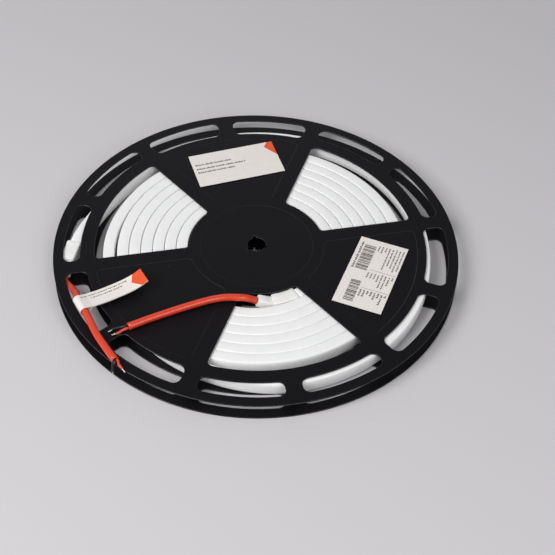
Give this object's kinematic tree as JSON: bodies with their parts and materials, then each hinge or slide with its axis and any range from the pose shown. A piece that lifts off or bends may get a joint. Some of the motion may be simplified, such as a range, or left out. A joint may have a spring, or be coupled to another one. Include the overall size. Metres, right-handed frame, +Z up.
{
  "type": "reel of waterproof led strip",
  "caption": "Milky silicone-jacketed LED strip wound on a flat black moulded reel with open windows, rim slots, end caps and short red leads.",
  "frame": {"origin": "on the floor under the middle of the hub, on the reel's underside", "axes": "+Z up along the reel's spindle axis; +X to the right and +Y away in the picture's view"},
  "size_m": [0.35, 0.35, 0.0278],
  "materials": {
    "black_flange": "moulded, semi-matt",
    "white_silicone": "milky, smooth, slightly translucent silicone",
    "cap_silicone": "smooth moulded silicone",
    "red_sheath": "smooth satin silicone",
    "black_insulation": "satin",
    "red_insulation": "satin",
    "tinned_copper": "tinned and twisted",
    "label_paper": "smooth label stock"
  },
  "bodies": {
    "root": {"flange_lower": "black_flange", "flange_upper": "black_flange", "strip_coil": "white_silicone", "strip_inner_turn": "white_silicone", "strip_outer_turn": "white_silicone", "end_cap_inner": "cap_silicone", "end_cap_outer": "cap_silicone", "lead_inner_sheath": "red_sheath", "lead_outer_sheath": "red_sheath", "lead_inner_core_black": "black_insulation", "lead_outer_core_black": "black_insulation", "lead_inner_core_red": "red_insulation", "lead_outer_core_red": "red_insulation", "lead_inner_tip_black": "tinned_copper", "lead_inner_tip_red": "tinned_copper", "lead_outer_tip_black": "tinned_copper", "lead_outer_tip_red": "tinned_copper", "label_far": "label_paper", "label_side": "label_paper", "flag_label": "label_paper"}
  },
  "joints": []
}
